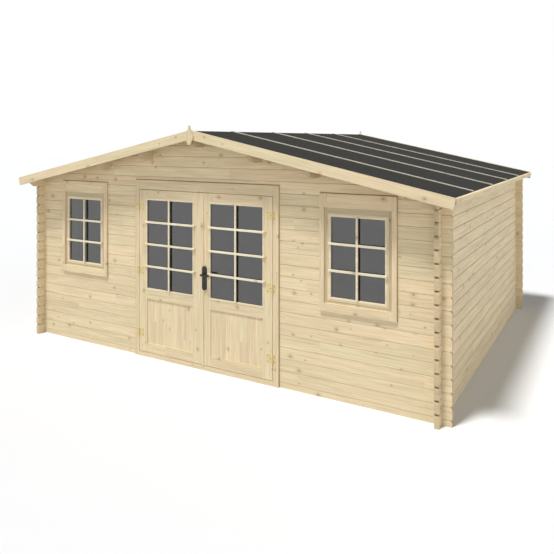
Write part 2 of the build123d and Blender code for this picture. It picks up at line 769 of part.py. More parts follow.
window_infill = WINDOW_GLASS + 2 * (REBATE - REBATE_GAP)
window_infill_height = WINDOW_GLASS_HEIGHT + 2 * (REBATE - REBATE_GAP)
window_middle = (WINDOW_X, window_glass_y, WINDOW_LOW + WINDOW_GLASS_HEIGHT / 2)
with BuildPart() as right_window_glass:
    with Locations(window_middle):
        Box(window_infill, GLASS, window_infill_height)
left_window_glass = mirrored(right_window_glass)

with BuildPart() as right_window_sash:
    add(
        ring(
            Plane.XZ.offset(-(sash_y + SASH_THICK)),
            sash_low + SEAT,
            sash_high - SEAT,
            inner_half - SEAT,
            SASH_SIDE - SEAT,
            SASH_FOOT - SEAT,
            SASH_TOP - SEAT,
            SASH_THICK,
        ).part
    )
    with Locations(window_middle):
        Box(
            window_infill + 2 * REBATE_GAP,
            GLASS + 2 * REBATE_GAP,
            window_infill_height + 2 * REBATE_GAP,
            mode=Mode.SUBTRACT,
        )
left_window_sash = mirrored(right_window_sash)

trim_low = sash_low - LINING_SHOW - TRIM_FOOT
head_low = lining_high - TRIM_LAP
trim_inner = lining_half - TRIM_LAP
with BuildPart() as right_window_trim:
    with BuildSketch(Plane.XZ.offset(-(FRONT - SEAT))):
        with Locations((WINDOW_X, head_low)):
            Rectangle(2 * (trim_inner + TRIM_SIDE), TRIM_HEAD, align=(Align.CENTER, Align.MIN))
        for way, align in ((-1, Align.MAX), (1, Align.MIN)):
            with Locations((WINDOW_X + way * trim_inner, trim_low)):
                Rectangle(TRIM_SIDE, head_low - SEAT - trim_low, align=(align, Align.MIN))
        with Locations((WINDOW_X, trim_low)):
            Rectangle(2 * (trim_inner - SEAT), TRIM_FOOT, align=(Align.CENTER, Align.MIN))
    extrude(amount=TRIM - SEAT)
left_window_trim = mirrored(right_window_trim)

pieces = {
    "floor_bearers": floor_bearers,
    "floor_deck": floor_deck,
    "left_wall_logs": left_wall_logs,
    "right_wall_logs": right_wall_logs,
    "front_wall_left_logs": front_wall_left_logs,
    "front_wall_right_logs": front_wall_right_logs,
    "front_top_log": front_top_log,
    "front_gable_logs": front_gable_logs,
    "rear_wall_logs": rear_wall_logs,
    "rear_gable_logs": rear_gable_logs,
    "ridge_purlin": ridge_purlin,
    "left_purlins": left_purlins,
    "right_purlins": right_purlins,
    "left_roof_deck": left_roof_deck,
    "right_roof_deck": right_roof_deck,
    "left_roof_felt": left_roof_felt,
    "right_roof_felt": right_roof_felt,
    "left_felt_battens": left_felt_battens,
    "right_felt_battens": right_felt_battens,
    "left_eave_strip": left_eave_strip,
    "right_eave_strip": right_eave_strip,
    "front_bargeboards": front_bargeboards,
    "rear_bargeboards": rear_bargeboards,
    "front_finial": front_finial,
    "rear_finial": rear_finial,
    "door_jambs": door_jambs,
    "door_head": door_head,
    "door_threshold": door_threshold,
    "jamb_hinges": jamb_hinges,
    "left_leaf_stiles": left_leaf_stiles,
    "left_leaf_rails": left_leaf_rails,
    "left_leaf_panel": left_leaf_panel,
    "left_leaf_glass": left_leaf_glass,
    "left_leaf_hinges": left_leaf_hinges,
    "right_leaf_stiles": right_leaf_stiles,
    "right_leaf_rails": right_leaf_rails,
    "right_leaf_panel": right_leaf_panel,
    "right_leaf_glass": right_leaf_glass,
    "right_leaf_hinges": right_leaf_hinges,
    "meeting_strip": meeting_strip,
    "handle_plates": handle_plates,
    "handle_lever": handle_lever,
    "left_window_lining": left_window_lining,
    "left_window_sash": left_window_sash,
    "left_window_glass": left_window_glass,
    "left_window_trim": left_window_trim,
    "right_window_lining": right_window_lining,
    "right_window_sash": right_window_sash,
    "right_window_glass": right_window_glass,
    "right_window_trim": right_window_trim,
}
os.makedirs("parts", exist_ok=True)
for name, piece in pieces.items():
    piece.part.label = name
    export_step(piece.part, f"parts/{name}.step")
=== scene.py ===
"""Log cabin: the finish of every surface, and the pieces that the construction leaves out."""

from math import atan2, cos, pi, radians

import bmesh
import bpy
from bpy.props import FloatProperty, FloatVectorProperty, IntProperty, PointerProperty
from mathutils import Matrix, Vector


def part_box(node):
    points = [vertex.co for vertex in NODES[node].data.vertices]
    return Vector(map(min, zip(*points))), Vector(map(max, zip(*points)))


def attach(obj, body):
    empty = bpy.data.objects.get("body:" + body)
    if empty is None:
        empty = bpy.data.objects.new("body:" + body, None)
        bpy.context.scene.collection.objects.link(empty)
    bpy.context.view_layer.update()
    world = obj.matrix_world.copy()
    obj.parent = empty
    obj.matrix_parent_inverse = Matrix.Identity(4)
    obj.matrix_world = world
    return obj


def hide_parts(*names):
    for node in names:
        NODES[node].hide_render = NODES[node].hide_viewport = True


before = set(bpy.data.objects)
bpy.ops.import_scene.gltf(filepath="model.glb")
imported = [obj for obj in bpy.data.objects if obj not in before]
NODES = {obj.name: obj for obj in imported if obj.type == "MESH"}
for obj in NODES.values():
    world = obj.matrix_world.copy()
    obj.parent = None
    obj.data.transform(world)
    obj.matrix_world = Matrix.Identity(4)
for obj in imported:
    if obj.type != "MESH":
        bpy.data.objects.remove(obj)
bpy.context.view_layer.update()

bl_info = {
    "name": "Log cabin",
    "version": (1, 0, 0),
    "blender": (4, 5, 0),
    "location": "View3D > Sidebar > Cabin",
    "description": "Finishes a log cabin and adds its glazing bars, boards and fixings",
    "category": "Object",
}

MM = 0.001


def place(node):
    """Lowest and highest corners of a construction piece, in metres."""
    low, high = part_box(node)
    return Vector(low), Vector(high)


# Places that follow the construction: the lowest and highest corner of each piece
FRONT_LOW, FRONT_HIGH = place("front_wall_right_logs")
_, REAR_HIGH = place("rear_wall_logs")
_, SIDE_HIGH = place("right_wall_logs")
DECK_LOW, DECK_HIGH = place("right_roof_deck")
FLOOR_LOW, FLOOR_HIGH = place("floor_deck")
BATTENS_LOW, BATTENS_HIGH = place("right_felt_battens")
LIGHT_LOW, LIGHT_HIGH = place("right_leaf_glass")
LEAF_LOW, LEAF_HIGH = place("right_leaf_stiles")
PANEL_LOW, PANEL_HIGH = place("right_leaf_panel")
PANE_LOW, PANE_HIGH = place("right_window_glass")
SASH_LOW, SASH_HIGH = place("right_window_sash")
TRIM_LOW, TRIM_HIGH = place("right_window_trim")
_, HEAD_HIGH = place("door_head")
JAMBS_LOW, JAMBS_HIGH = place("door_jambs")
LEAF_PLATE_LOW, LEAF_PLATE_HIGH = place("right_leaf_hinges")
_, JAMB_PLATE_HIGH = place("jamb_hinges")
PLATES_LOW, PLATES_HIGH = place("handle_plates")
LEVER_LOW, LEVER_HIGH = place("handle_lever")

LEAF_FACE = LEAF_LOW.y
SASH_FACE = SASH_LOW.y
TRIM_MIDDLE = (TRIM_LOW.x + TRIM_HIGH.x) / 2

# Sizes and directions
TOUCH = 0.2 * MM  # how far an added piece stays off what carries it
PITCH = 114 * MM  # height of one course of logs
HALF_LOG = PITCH / 2
CORNER = 88 * MM  # how far the logs run past the crossing wall
REBATE = 7.5 * MM  # depth that the glass reaches into its frame
PANEL_BOARDS = 7  # upright boards side by side in a door's panel
DECK_THICK = 18 * MM
HINGE_HEIGHT = 82 * MM
HINGE_PLATE = 2.5 * MM
BATTEN_WIDTH = 24 * MM
BATTEN_THICK = 8 * MM
BATTENS = 4
SLOPE = atan2(DECK_HIGH.z - DECK_LOW.z - DECK_THICK, DECK_HIGH.x - DECK_LOW.x)
MIRROR_X = Matrix.Diagonal((-1, 1, 1, 1))
FRONTWARD = Vector((0, -1, 0))
REARWARD = Vector((0, 1, 0))
UPWARD = Vector((0, 0, 1))


def linear(code):
    """Linear colour of an sRGB hex code."""
    channels = [int(code[i:i + 2], 16) / 255 for i in (1, 3, 5)]
    return [c / 12.92 if c <= 0.04045 else ((c + 0.055) / 1.055) ** 2.4 for c in channels]


# Settings

LENGTH = {"subtype": "DISTANCE", "unit": "LENGTH"}
COLOUR = {"subtype": "COLOR", "min": 0, "max": 1}


class CabinWood(bpy.types.PropertyGroup):
    """Colours and grain of the planed spruce."""

    warm: FloatVectorProperty(
        name="Warm boards", description="Boards with a rosy cast", default=linear("#F1DCB8"),
        **COLOUR,
    )
    pale: FloatVectorProperty(
        name="Pale boards", description="Boards with a straw cast", default=linear("#EEDFB9"),
        **COLOUR,
    )
    grain: FloatVectorProperty(
        name="Late wood", description="Darker lines of the grain", default=linear("#BFA67B"),
        **COLOUR,
    )
    knot: FloatVectorProperty(
        name="Knots", description="Colour of the knots", default=linear("#94663F"), **COLOUR
    )
    end: FloatVectorProperty(
        name="End grain", description="Colour of sawn ends", default=linear("#D6C19C"), **COLOUR
    )
    grain_width: FloatProperty(
        name="Grain width", description="Distance between the broader lines of the grain",
        default=13 * MM, min=1 * MM, **LENGTH,
    )
    knot_spacing: FloatProperty(
        name="Knot spacing", description="Mean distance between knots", default=0.2, min=0.05,
        **LENGTH,
    )
    knot_size: FloatProperty(
        name="Knot size", description="Radius of the largest knots", default=20 * MM,
        min=2 * MM, **LENGTH,
    )


class CabinBars(bpy.types.PropertyGroup):
    """Glazing bars and the beads round the glass."""

    width: FloatProperty(
        name="Bar width", description="Width of a glazing bar", default=22 * MM, min=5 * MM,
        **LENGTH,
    )
    door_thick: FloatProperty(
        name="Door bar thickness", description="Thickness of a bar on a door", default=12 * MM,
        min=2 * MM, **LENGTH,
    )
    window_thick: FloatProperty(
        name="Window bar thickness", description="Thickness of a bar on a window",
        default=14 * MM, min=2 * MM, **LENGTH,
    )
    door_lap: FloatProperty(
        name="Lap on the door", description="How far a bar lies on the stiles", default=33 * MM,
        min=0, **LENGTH,
    )
    window_lap: FloatProperty(
        name="Lap on the sash", description="How far a bar lies on the sash", default=24 * MM,
        min=0, **LENGTH,
    )
    door_rows: IntProperty(
        name="Door rows", description="Panes above each other in a leaf", default=4, min=1
    )
    window_rows: IntProperty(
        name="Window rows", description="Panes above each other in a window", default=3, min=1
    )
    bead: FloatProperty(
        name="Bead width", description="Width of the bead round the glass", default=16 * MM,
        min=4 * MM, **LENGTH,
    )
    bead_thick: FloatProperty(
        name="Bead thickness", description="How far the bead stands proud of its frame",
        default=3 * MM, min=1 * MM, **LENGTH,
    )


class CabinBoards(bpy.types.PropertyGroup):
    """Boards of the roof and floor, and painted shade in the hollows at the log ends and the
    joints round the frames.
    """

    width: FloatProperty(
        name="Board width", description="Width of a roof or floor board", default=96 * MM,
        min=30 * MM, **LENGTH,
    )
    groove: FloatProperty(
        name="V groove", description="Depth of the bevel along a board's edge", default=3 * MM,
        min=0.5 * MM, **LENGTH,
    )
    hollow_width: FloatProperty(
        name="Hollow width", description="Width of the hollow seen between two log ends",
        default=27 * MM, min=5 * MM, **LENGTH,
    )
    hollow_height: FloatProperty(
        name="Hollow height", description="Height of the hollow seen between two log ends",
        default=11 * MM, min=3 * MM, **LENGTH,
    )
    gap_over: FloatProperty(
        name="Gap over a frame", description="Height of the open joint over a frame's trim",
        default=8 * MM, min=1 * MM, **LENGTH,
    )
    gap_beside: FloatProperty(
        name="Gap beside a frame", description="Width of the open joint beside a frame's trim",
        default=4 * MM, min=1 * MM, **LENGTH,
    )


class CabinFixings(bpy.types.PropertyGroup):
    """Screws, nails, bar clips and the lock's cylinder."""

    screw: FloatProperty(
        name="Screw head", description="Radius of a screw's head", default=4.2 * MM, min=1 * MM,
        **LENGTH,
    )
    nail: FloatProperty(
        name="Nail head", description="Radius of a nail's head", default=4 * MM, min=1 * MM,
        **LENGTH,
    )
    nail_pitch: FloatProperty(
        name="Nail spacing", description="Distance between the nails in a felt batten",
        default=0.3, min=0.05, **LENGTH,
    )
    clip_width: FloatProperty(
        name="Clip width", description="Width of a clip across the bar that it holds",
        default=18 * MM, min=4 * MM, **LENGTH,
    )
    clip_foot: FloatProperty(
        name="Clip foot", description="Length of a clip's foot beyond the bar", default=12 * MM,
        min=4 * MM, **LENGTH,
    )
    clip_arm: FloatProperty(
        name="Clip arm", description="Length of a clip's arm over the bar", default=15 * MM,
        min=4 * MM, **LENGTH,
    )
    key_radius: FloatProperty(
        name="Lock cylinder", description="Radius of the lock's cylinder", default=8.5 * MM,
        min=2 * MM, **LENGTH,
    )
    key_drop: FloatProperty(
        name="Keyhole drop", description="Spindle to the lock's cylinder", default=72 * MM,
        min=20 * MM, **LENGTH,
    )


class CabinStage(bpy.types.PropertyGroup):
    """Camera, light and floor."""

    camera: FloatVectorProperty(
        name="Camera", description="Place of the camera", subtype="TRANSLATION", unit="LENGTH",
        default=(3.807, -7.131, 2.396),
    )
    turn: FloatProperty(
        name="Turn", description="Camera's turn about the vertical", subtype="ANGLE",
        unit="ROTATION", default=radians(29.894),
    )
    lens: FloatProperty(
        name="Lens", description="Focal length in millimetres", unit="CAMERA", default=39.05
    )
    shift: FloatProperty(
        name="Vertical shift", description="Lens shift that keeps uprights upright",
        default=-0.2473,
    )
    sun_way: FloatVectorProperty(
        name="Sun's way", description="Direction in which the sunlight travels",
        subtype="DIRECTION", default=(0.15, 0.35, -1.0),
    )
    sun_power: FloatProperty(name="Sun", description="Strength of the sun", default=3.2)
    sun_size: FloatProperty(
        name="Sun size", description="Angle of the sun, which softens its shadows",
        subtype="ANGLE", unit="ROTATION", default=radians(10),
    )
    sky: FloatProperty(
        name="Sky", description="Strength of the sky light at the horizon", default=1.74
    )
    sky_fall: FloatProperty(
        name="Sky fall", description="How fast the sky darkens above the horizon", default=2.0
    )
    sky_side: FloatProperty(
        name="Sky side", description="Extra sky light from the right", default=0.36
    )
    floor_seen: FloatVectorProperty(
        name="Floor, seen", description="Colour of the floor as it is seen",
        default=(0.8, 0.805, 0.815), **COLOUR,
    )
    floor_bounce: FloatVectorProperty(
        name="Floor, bounce", description="Colour of the light that the floor throws back",
        default=(0.47, 0.47, 0.47), **COLOUR,
    )


# Nodes and meshes


def add_node(tree, kind, inputs=None, **settings):
    """Add a node with its settings. An input takes a value, a socket or a node's output 0."""
    made = tree.nodes.new(kind)
    for key, value in settings.items():
        setattr(made, key, value)
    for key, value in (inputs or {}).items():
        if isinstance(value, bpy.types.Node):
            value = value.outputs[0]
        if isinstance(value, bpy.types.NodeSocket):
            tree.links.new(value, made.inputs[key])
        else:
            made.inputs[key].default_value = value
    return made


def new_material(name):
    """An empty material and its node tree."""
    material = bpy.data.materials.new(name)
    material.use_nodes = True
    material.node_tree.nodes.clear()
    return material, material.node_tree


def finish_surface(tree, shader):
    """Join a shader to the material's output."""
    add_node(tree, "ShaderNodeOutputMaterial", {"Surface": shader.outputs[0]})


def block(mesh, low, high, edge=0.0, turn=None):
    """Add a board between two corners, its edges bevelled, and turned where asked."""
    middle = (Vector(low) + Vector(high)) / 2
    size = Vector(high) - Vector(low)
    verts = bmesh.ops.create_cube(
        mesh, size=1, matrix=Matrix.Translation(middle) @ Matrix.Diagonal((*size, 1))
    )["verts"]
    if edge:
        edges = list({e for v in verts for e in v.link_edges})
        made = bmesh.ops.bevel(
            mesh, geom=edges, offset=edge, segments=1, profile=0.5, affect="EDGES",
            material=-1,
        )
        verts = list({v for f in made["faces"] for v in f.verts})
    if turn:
        bmesh.ops.transform(mesh, matrix=turn, verts=verts)


def head(mesh, centre, radius, height, way, segments=10):
    """Add a low round head that stands on a surface, with its top turned to a way."""
    bmesh.ops.create_cone(
        mesh, cap_ends=True, segments=segments, radius1=radius, radius2=0.7 * radius,
        depth=height,
        matrix=Matrix.Translation(Vector(centre) + Vector(way) * height / 2)
        @ Vector(way).to_track_quat("Z", "Y").to_matrix().to_4x4(),
    )


def piece(mesh, name, material, body, way=1):
    """Turn a bmesh into a piece that rides on a body, mirrored where its way is -1."""
    if way < 0:
        bmesh.ops.transform(mesh, matrix=MIRROR_X, verts=mesh.verts)
    bmesh.ops.recalc_face_normals(mesh, faces=mesh.faces)
    data = bpy.data.meshes.new(name)
    mesh.to_mesh(data)
    mesh.free()
    made = bpy.data.objects.new(name, data)
    bpy.context.scene.collection.objects.link(made)
    data.materials.append(material)
    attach(made, body)
    return made


# Materials. Some inputs are numbered: a Map Range has its value, the range that it comes from
# and the range that it goes to; a Mix has its factor, then 2 and 3 for numbers, or 6 and 7 for
# colours.

# Pattern of the wood
JOINED = 1.6  # metres of board from one finger joint to the next
JOINT_STEP, JOINT_START = 0.617, 0.3  # place of the joints from board to board, in JOINED
GRAIN_STEP = 37.0  # metres of grain, from which each board gets its own stretch
KNOT_NARROW = 0.8  # a knot's width over its length
KNOT_STEP = 1.37  # cells by which the knots move along from board to board
BARE_CELLS = 0.4  # share of the cells whose knot is too small to show
KNOT_LEAST = 0.011  # radius of such a knot, in cells
KNOT_CORE = 0.01  # radius within which a knot is darkest, in cells
HALO = 2.2  # a halo's radius over its knot's
SAWN = 0.5  # a face turned further than this along the grain is a sawn end


def board_axes(tree, vector, along, across, slope):
    """A vector's parts along, across and through the boards."""
    if slope:
        # Both slopes fall away from the ridge, so the distance from it is turned level
        parts = add_node(tree, "ShaderNodeSeparateXYZ", {0: vector})
        away = add_node(tree, "ShaderNodeMath", {0: parts.outputs["X"]}, operation="ABSOLUTE")
        folded = add_node(
            tree, "ShaderNodeCombineXYZ",
            {"X": away, "Y": parts.outputs["Y"], "Z": parts.outputs["Z"]},
        )
        vector = add_node(
            tree, "ShaderNodeVectorRotate", {"Vector": folded, "Angle": -slope},
            rotation_type="Y_AXIS",
        )
    parts = add_node(tree, "ShaderNodeSeparateXYZ", {0: vector})
    through = ({"X", "Y", "Z"} - {along, across}).pop()
    return parts.outputs[along], parts.outputs[across], parts.outputs[through]


def upright_boards(tree, place_of, uprights):
    """1 where the boards stand upright beside an opening: outside half its width."""
    middle, half = uprights
    parts = add_node(tree, "ShaderNodeSeparateXYZ", {0: place_of})
    away = add_node(tree, "ShaderNodeMath", {0: parts.outputs["X"]}, operation="ABSOLUTE")
    beside = add_node(tree, "ShaderNodeMath", {0: away, 1: middle}, operation="SUBTRACT")
    beside = add_node(tree, "ShaderNodeMath", {0: beside}, operation="ABSOLUTE")
    return add_node(tree, "ShaderNodeMath", {0: beside, 1: half}, operation="GREATER_THAN")


def spruce(
    name, along, across, board=0.0, start=0.0, slope=0.0, uprights=None, tones=None,
    shade=1.0, seam=1.0,
):
    """Planed spruce, untreated: pale straw to rosy boards, grain along them, small brown knots,
    greyer sawn ends, painted shade in seams and V cuts. Planing leaves it matt, with a slight
    silkiness."""
    wood = bpy.context.scene.cabin_wood
    own = len(name)  # gives the finishes different boards
    warm, pale = [linear(code) for code in tones] if tones else (wood.warm, wood.pale)
    material, tree = new_material(f"spruce_{name}")
    coordinates = add_node(tree, "ShaderNodeTexCoord")
    place_of = coordinates.outputs["Object"]
    lengthwise, crosswise, through = board_axes(tree, place_of, along, across, slope)
    facing, side_facing, _ = board_axes(
        tree, coordinates.outputs["Normal"], along, across, slope
    )
    if uprights:
        upright = upright_boards(tree, place_of, uprights)
        lengthwise, crosswise, facing = [
            add_node(
                tree, "ShaderNodeMix", {0: upright, 2: level, 3: turned}, data_type="FLOAT"
            )
            for level, turned in (
                (lengthwise, crosswise), (crosswise, lengthwise), (facing, side_facing),
            )
        ]

    # One number for each board, and for each length that is joined into it
    row = share = 0.0
    if board:
        shifted = add_node(
            tree, "ShaderNodeMath", {0: crosswise, 1: start}, operation="SUBTRACT"
        )
        scaled = add_node(tree, "ShaderNodeMath", {0: shifted, 1: board}, operation="DIVIDE")
        row = add_node(tree, "ShaderNodeMath", {0: scaled}, operation="FLOOR")
        share = add_node(tree, "ShaderNodeMath", {0: scaled}, operation="FRACT")
    skew = add_node(
        tree, "ShaderNodeMath", {0: row, 1: JOINT_STEP, 2: JOINT_START},
        operation="MULTIPLY_ADD",
    )
    length = add_node(
        tree, "ShaderNodeMath", {0: lengthwise, 1: 1 / JOINED, 2: skew},
        operation="MULTIPLY_ADD",
    )
    stretch = add_node(tree, "ShaderNodeMath", {0: length}, operation="FLOOR")
    key = add_node(tree, "ShaderNodeCombineXYZ", {"X": row, "Y": stretch, "Z": own})
    chance = add_node(tree, "ShaderNodeTexWhiteNoise", {"Vector": key}, noise_dimensions="3D")
    dice = add_node(tree, "ShaderNodeSeparateColor", {0: chance.outputs["Color"]})

    # Grain: long streaks that differ from board to board, the broad ones drawn twice as wide
    # as they grow so that they show at a distance, and fine lines between them
    moved = add_node(
        tree, "ShaderNodeMath", {0: dice.outputs[0], 1: GRAIN_STEP, 2: lengthwise},
        operation="MULTIPLY_ADD",
    )
    space = add_node(
        tree, "ShaderNodeCombineXYZ", {"X": moved, "Y": crosswise, "Z": through}
    )
    fine = 1 / wood.grain_width
    grain, lines, cloud = [
        add_node(
            tree, "ShaderNodeTexNoise",
            {
                "Vector": add_node(
                    tree, "ShaderNodeMapping", {"Vector": space, "Scale": (long, wide, wide)}
                ),
                "Scale": 1.0, "Detail": detail, "Roughness": 0.6, "Distortion": bend,
            },
        )
        for long, wide, detail, bend in (
            (fine / 30, fine, 3.0, 0.5), (fine / 24, 4 * fine, 1.0, 0.2),
            (0.9, fine / 5, 2.0, 0.0),
        )
    ]

    # Knots: one in each cell, many of them too small to show, a little longer than wide and
    # with a warmer halo
    cells = 1 / wood.knot_spacing
    apart = add_node(
        tree, "ShaderNodeMath", {0: row, 1: KNOT_STEP, 2: own}, operation="MULTIPLY_ADD"
    )
    flat = add_node(
        tree, "ShaderNodeCombineXYZ",
        {
            "X": add_node(
                tree, "ShaderNodeMath", {0: lengthwise, 1: KNOT_NARROW * cells, 2: apart},
                operation="MULTIPLY_ADD",
            ),
            "Y": add_node(
                tree, "ShaderNodeMath", {0: crosswise, 1: cells}, operation="MULTIPLY"
            ),
        },
    )
    nearest = add_node(
        tree, "ShaderNodeTexVoronoi", {"Vector": flat, "Scale": 1.0}, feature="F1",
        voronoi_dimensions="2D",
    )
    luck = add_node(tree, "ShaderNodeSeparateColor", {0: nearest.outputs["Color"]})
    radius = add_node(
        tree, "ShaderNodeMapRange",
        {
            0: luck.outputs[0], 1: BARE_CELLS, 2: 1.0, 3: KNOT_LEAST,
            4: wood.knot_size * cells,
        },
    )
    wide_radius = add_node(tree, "ShaderNodeMath", {0: radius, 1: HALO}, operation="MULTIPLY")
    knot, halo = [
        add_node(
            tree, "ShaderNodeMapRange",
            {0: nearest.outputs["Distance"], 1: reach, 2: core, 3: 0.0, 4: strength},
            interpolation_type="SMOOTHSTEP",
        )
        for reach, core, strength in ((radius, KNOT_CORE, 0.55), (wide_radius, radius, 0.16))
    ]

    tone = add_node(
        tree, "ShaderNodeMix", {0: dice.outputs[1], 6: (*warm, 1), 7: (*pale, 1)},
        data_type="RGBA",
    ).outputs[2]
    # Where each darker layer starts and ends in its pattern, its strength and its colour
    for factor, low, high, most, colour in (
        (grain, 0.38, 0.76, 0.5, wood.grain), (lines, 0.42, 0.78, 0.18, wood.grain),
        (halo, 0.0, 1.0, 1.0, wood.knot), (knot, 0.0, 1.0, 1.0, wood.knot),
    ):
        factor = add_node(
            tree, "ShaderNodeMapRange", {0: factor, 1: low, 2: high, 3: 0.0, 4: most}
        )
        tone = add_node(
            tree, "ShaderNodeMix", {0: factor, 6: tone, 7: (*colour, 1)}, data_type="RGBA"
        ).outputs[2]

    # Sawn ends show the rings of the tree instead of the grain, and the slanting faces of the
    # V cuts between them are darkened: painted shade
    facing = add_node(tree, "ShaderNodeMath", {0: facing}, operation="ABSOLUTE")
    sawn = add_node(tree, "ShaderNodeMath", {0: facing, 1: SAWN}, operation="GREATER_THAN")
    painted_cut_shade = add_node(
        tree, "ShaderNodeMapRange",
        {0: facing, 1: 0.86, 2: 0.96, 3: 0.82 if board else 1.0, 4: 1.0},
    )
    rings = add_node(
        tree, "ShaderNodeTexWave",
        {
            "Vector": add_node(
                tree, "ShaderNodeCombineXYZ", {"X": crosswise, "Y": through, "Z": row}
            ),
            "Scale": fine / 2, "Distortion": 3.0, "Detail": 2.0, "Detail Scale": 0.6,
        },
        wave_type="RINGS", rings_direction="Z",
    )
    ringed = add_node(
        tree, "ShaderNodeMapRange", {0: rings.outputs["Fac"], 3: 0.86, 4: 1.04}
    )
    ringed = add_node(tree, "ShaderNodeMath", {0: ringed, 1: painted_cut_shade}, operation="MULTIPLY")
    ends = add_node(
        tree, "ShaderNodeVectorMath", {0: list(wood.end), "Scale": ringed}, operation="SCALE"
    )
    colour = add_node(
        tree, "ShaderNodeMix", {0: sawn, 6: tone, 7: ends}, data_type="RGBA"
    ).outputs[2]

    wide = add_node(tree, "ShaderNodeMapRange", {0: cloud, 1: 0.3, 2: 0.7, 3: 0.92, 4: 1.04})
    each = add_node(
        tree, "ShaderNodeMapRange", {0: dice.outputs[2], 3: 0.94 * shade, 4: 1.02 * shade}
    )
    level = add_node(tree, "ShaderNodeMath", {0: wide, 1: each}, operation="MULTIPLY")
    if seam != 1:
        # Both edges of a board are darkened towards the seam: painted shade
        low_edge, high_edge = [
            add_node(
                tree, "ShaderNodeMapRange", {0: share, 1: inner, 2: outer, 3: 1.0, 4: seam}
            )
            for inner, outer in ((0.03, 0.0), (0.93, 0.97))
        ]
        painted_seam_shade = add_node(
            tree, "ShaderNodeMath", {0: low_edge, 1: high_edge}, operation="MINIMUM"
        )
        level = add_node(tree, "ShaderNodeMath", {0: level, 1: painted_seam_shade}, operation="MULTIPLY")
    colour = add_node(
        tree, "ShaderNodeVectorMath", {0: colour, "Scale": level}, operation="SCALE"
    )
    gloss = add_node(tree, "ShaderNodeMapRange", {0: grain, 3: 0.55, 4: 0.75})
    relief = add_node(
        tree, "ShaderNodeBump", {"Height": grain, "Strength": 0.3, "Distance": 0.5 * MM}
    )
    shader = add_node(
        tree, "ShaderNodeBsdfPrincipled",
        {
            "Base Color": colour, "Roughness": gloss, "Normal": relief, "IOR": 1.45,
            "Specular IOR Level": 0.3,
        },
    )
    finish_surface(tree, shader)
    return material


def roofing_felt():
    """Bitumen felt with a mineral surface: near black, its grit rough and slightly uneven."""
    material, tree = new_material("mineral_felt")
    place_of = add_node(tree, "ShaderNodeTexCoord").outputs["Object"]
    # The grit is about 1 mm wide, and drawn 5 mm wide so that it shows
    grit = add_node(
        tree, "ShaderNodeTexNoise",
        {"Vector": place_of, "Scale": 1 / (5 * MM), "Detail": 2.0, "Roughness": 0.7},
    )
    cloud = add_node(
        tree, "ShaderNodeTexNoise", {"Vector": place_of, "Scale": 1.6, "Detail": 3.0}
    )
    speck = add_node(tree, "ShaderNodeMapRange", {0: grit, 1: 0.3, 2: 0.75, 3: 0.0, 4: 1.0})
    colour = add_node(
        tree, "ShaderNodeMix",
        {0: speck, 6: (*linear("#181816"), 1), 7: (*linear("#302F2B"), 1)}, data_type="RGBA",
    ).outputs[2]
    level = add_node(tree, "ShaderNodeMapRange", {0: cloud, 1: 0.3, 2: 0.7, 3: 0.9, 4: 1.1})
    shaded = add_node(
        tree, "ShaderNodeVectorMath", {0: colour, "Scale": level}, operation="SCALE"
    )
    relief = add_node(
        tree, "ShaderNodeBump", {"Height": grit, "Strength": 0.5, "Distance": 1 * MM}
    )
    shader = add_node(
        tree, "ShaderNodeBsdfPrincipled",
        {
            "Base Color": shaded, "Roughness": 0.95, "Normal": relief,
            "Specular IOR Level": 0.15,
        },
    )
    finish_surface(tree, shader)
    return material


def float_glass():
    """Clear float glass over an unlit room: nearly black through it, with an even pale
    reflection, and dark ones of the bars in front of it."""
    material, tree = new_material("float_glass")
    place_of = add_node(tree, "ShaderNodeTexCoord").outputs["Object"]
    wave = add_node(
        tree, "ShaderNodeTexNoise", {"Vector": place_of, "Scale": 2.5, "Detail": 1.0}
    )
    tint = add_node(
        tree, "ShaderNodeMix",
        {0: wave, 6: (*linear("#4A4843"), 1), 7: (*linear("#56534D"), 1)}, data_type="RGBA",
    ).outputs[2]
    relief = add_node(
        tree, "ShaderNodeBump", {"Height": wave, "Strength": 0.02, "Distance": 0.5 * MM}
    )
    # More reflective than plain glass (1.5), so that the panes look evenly grey
    shader = add_node(
        tree, "ShaderNodeBsdfPrincipled",
        {
            "Base Color": tint, "Roughness": 0.02, "IOR": 2.05, "Transmission Weight": 0.95,
            "Normal": relief,
        },
    )
    finish_surface(tree, shader)
    return material


def passivated_steel():
    """Yellow passivated steel, as on cheap hinges: a pale, dull brass, a little clouded."""
    material, tree = new_material("passivated_steel")
    place_of = add_node(tree, "ShaderNodeTexCoord").outputs["Object"]
    rub = add_node(
        tree, "ShaderNodeTexNoise", {"Vector": place_of, "Scale": 1 / (9 * MM), "Detail": 3.0}
    )
    gloss = add_node(tree, "ShaderNodeMapRange", {0: rub, 3: 0.35, 4: 0.55})
    colour = add_node(
        tree, "ShaderNodeMix",
        {0: rub, 6: (*linear("#EAD9A2"), 1), 7: (*linear("#CDB87C"), 1)}, data_type="RGBA",
    ).outputs[2]
    shader = add_node(
        tree, "ShaderNodeBsdfPrincipled",
        {"Base Color": colour, "Metallic": 0.35, "Roughness": gloss},
    )
    finish_surface(tree, shader)
    return material


def lacquered_steel(name, code, roughness):
    """Steel with a baked lacquer: soft highlights over a slightly rippled skin."""
    material, tree = new_material(name)
    place_of = add_node(tree, "ShaderNodeTexCoord").outputs["Object"]
    skin = add_node(
        tree, "ShaderNodeTexNoise", {"Vector": place_of, "Scale": 1 / (2 * MM), "Detail": 2.0}
    )
    gloss = add_node(
        tree, "ShaderNodeMapRange", {0: skin, 3: roughness - 0.05, 4: roughness + 0.1}
    )
    relief = add_node(
        tree, "ShaderNodeBump", {"Height": skin, "Strength": 0.15, "Distance": 0.3 * MM}
    )
    shader = add_node(
        tree, "ShaderNodeBsdfPrincipled",
        {"Base Color": (*linear(code), 1), "Roughness": gloss, "Normal": relief},
    )
    finish_surface(tree, shader)
    return material


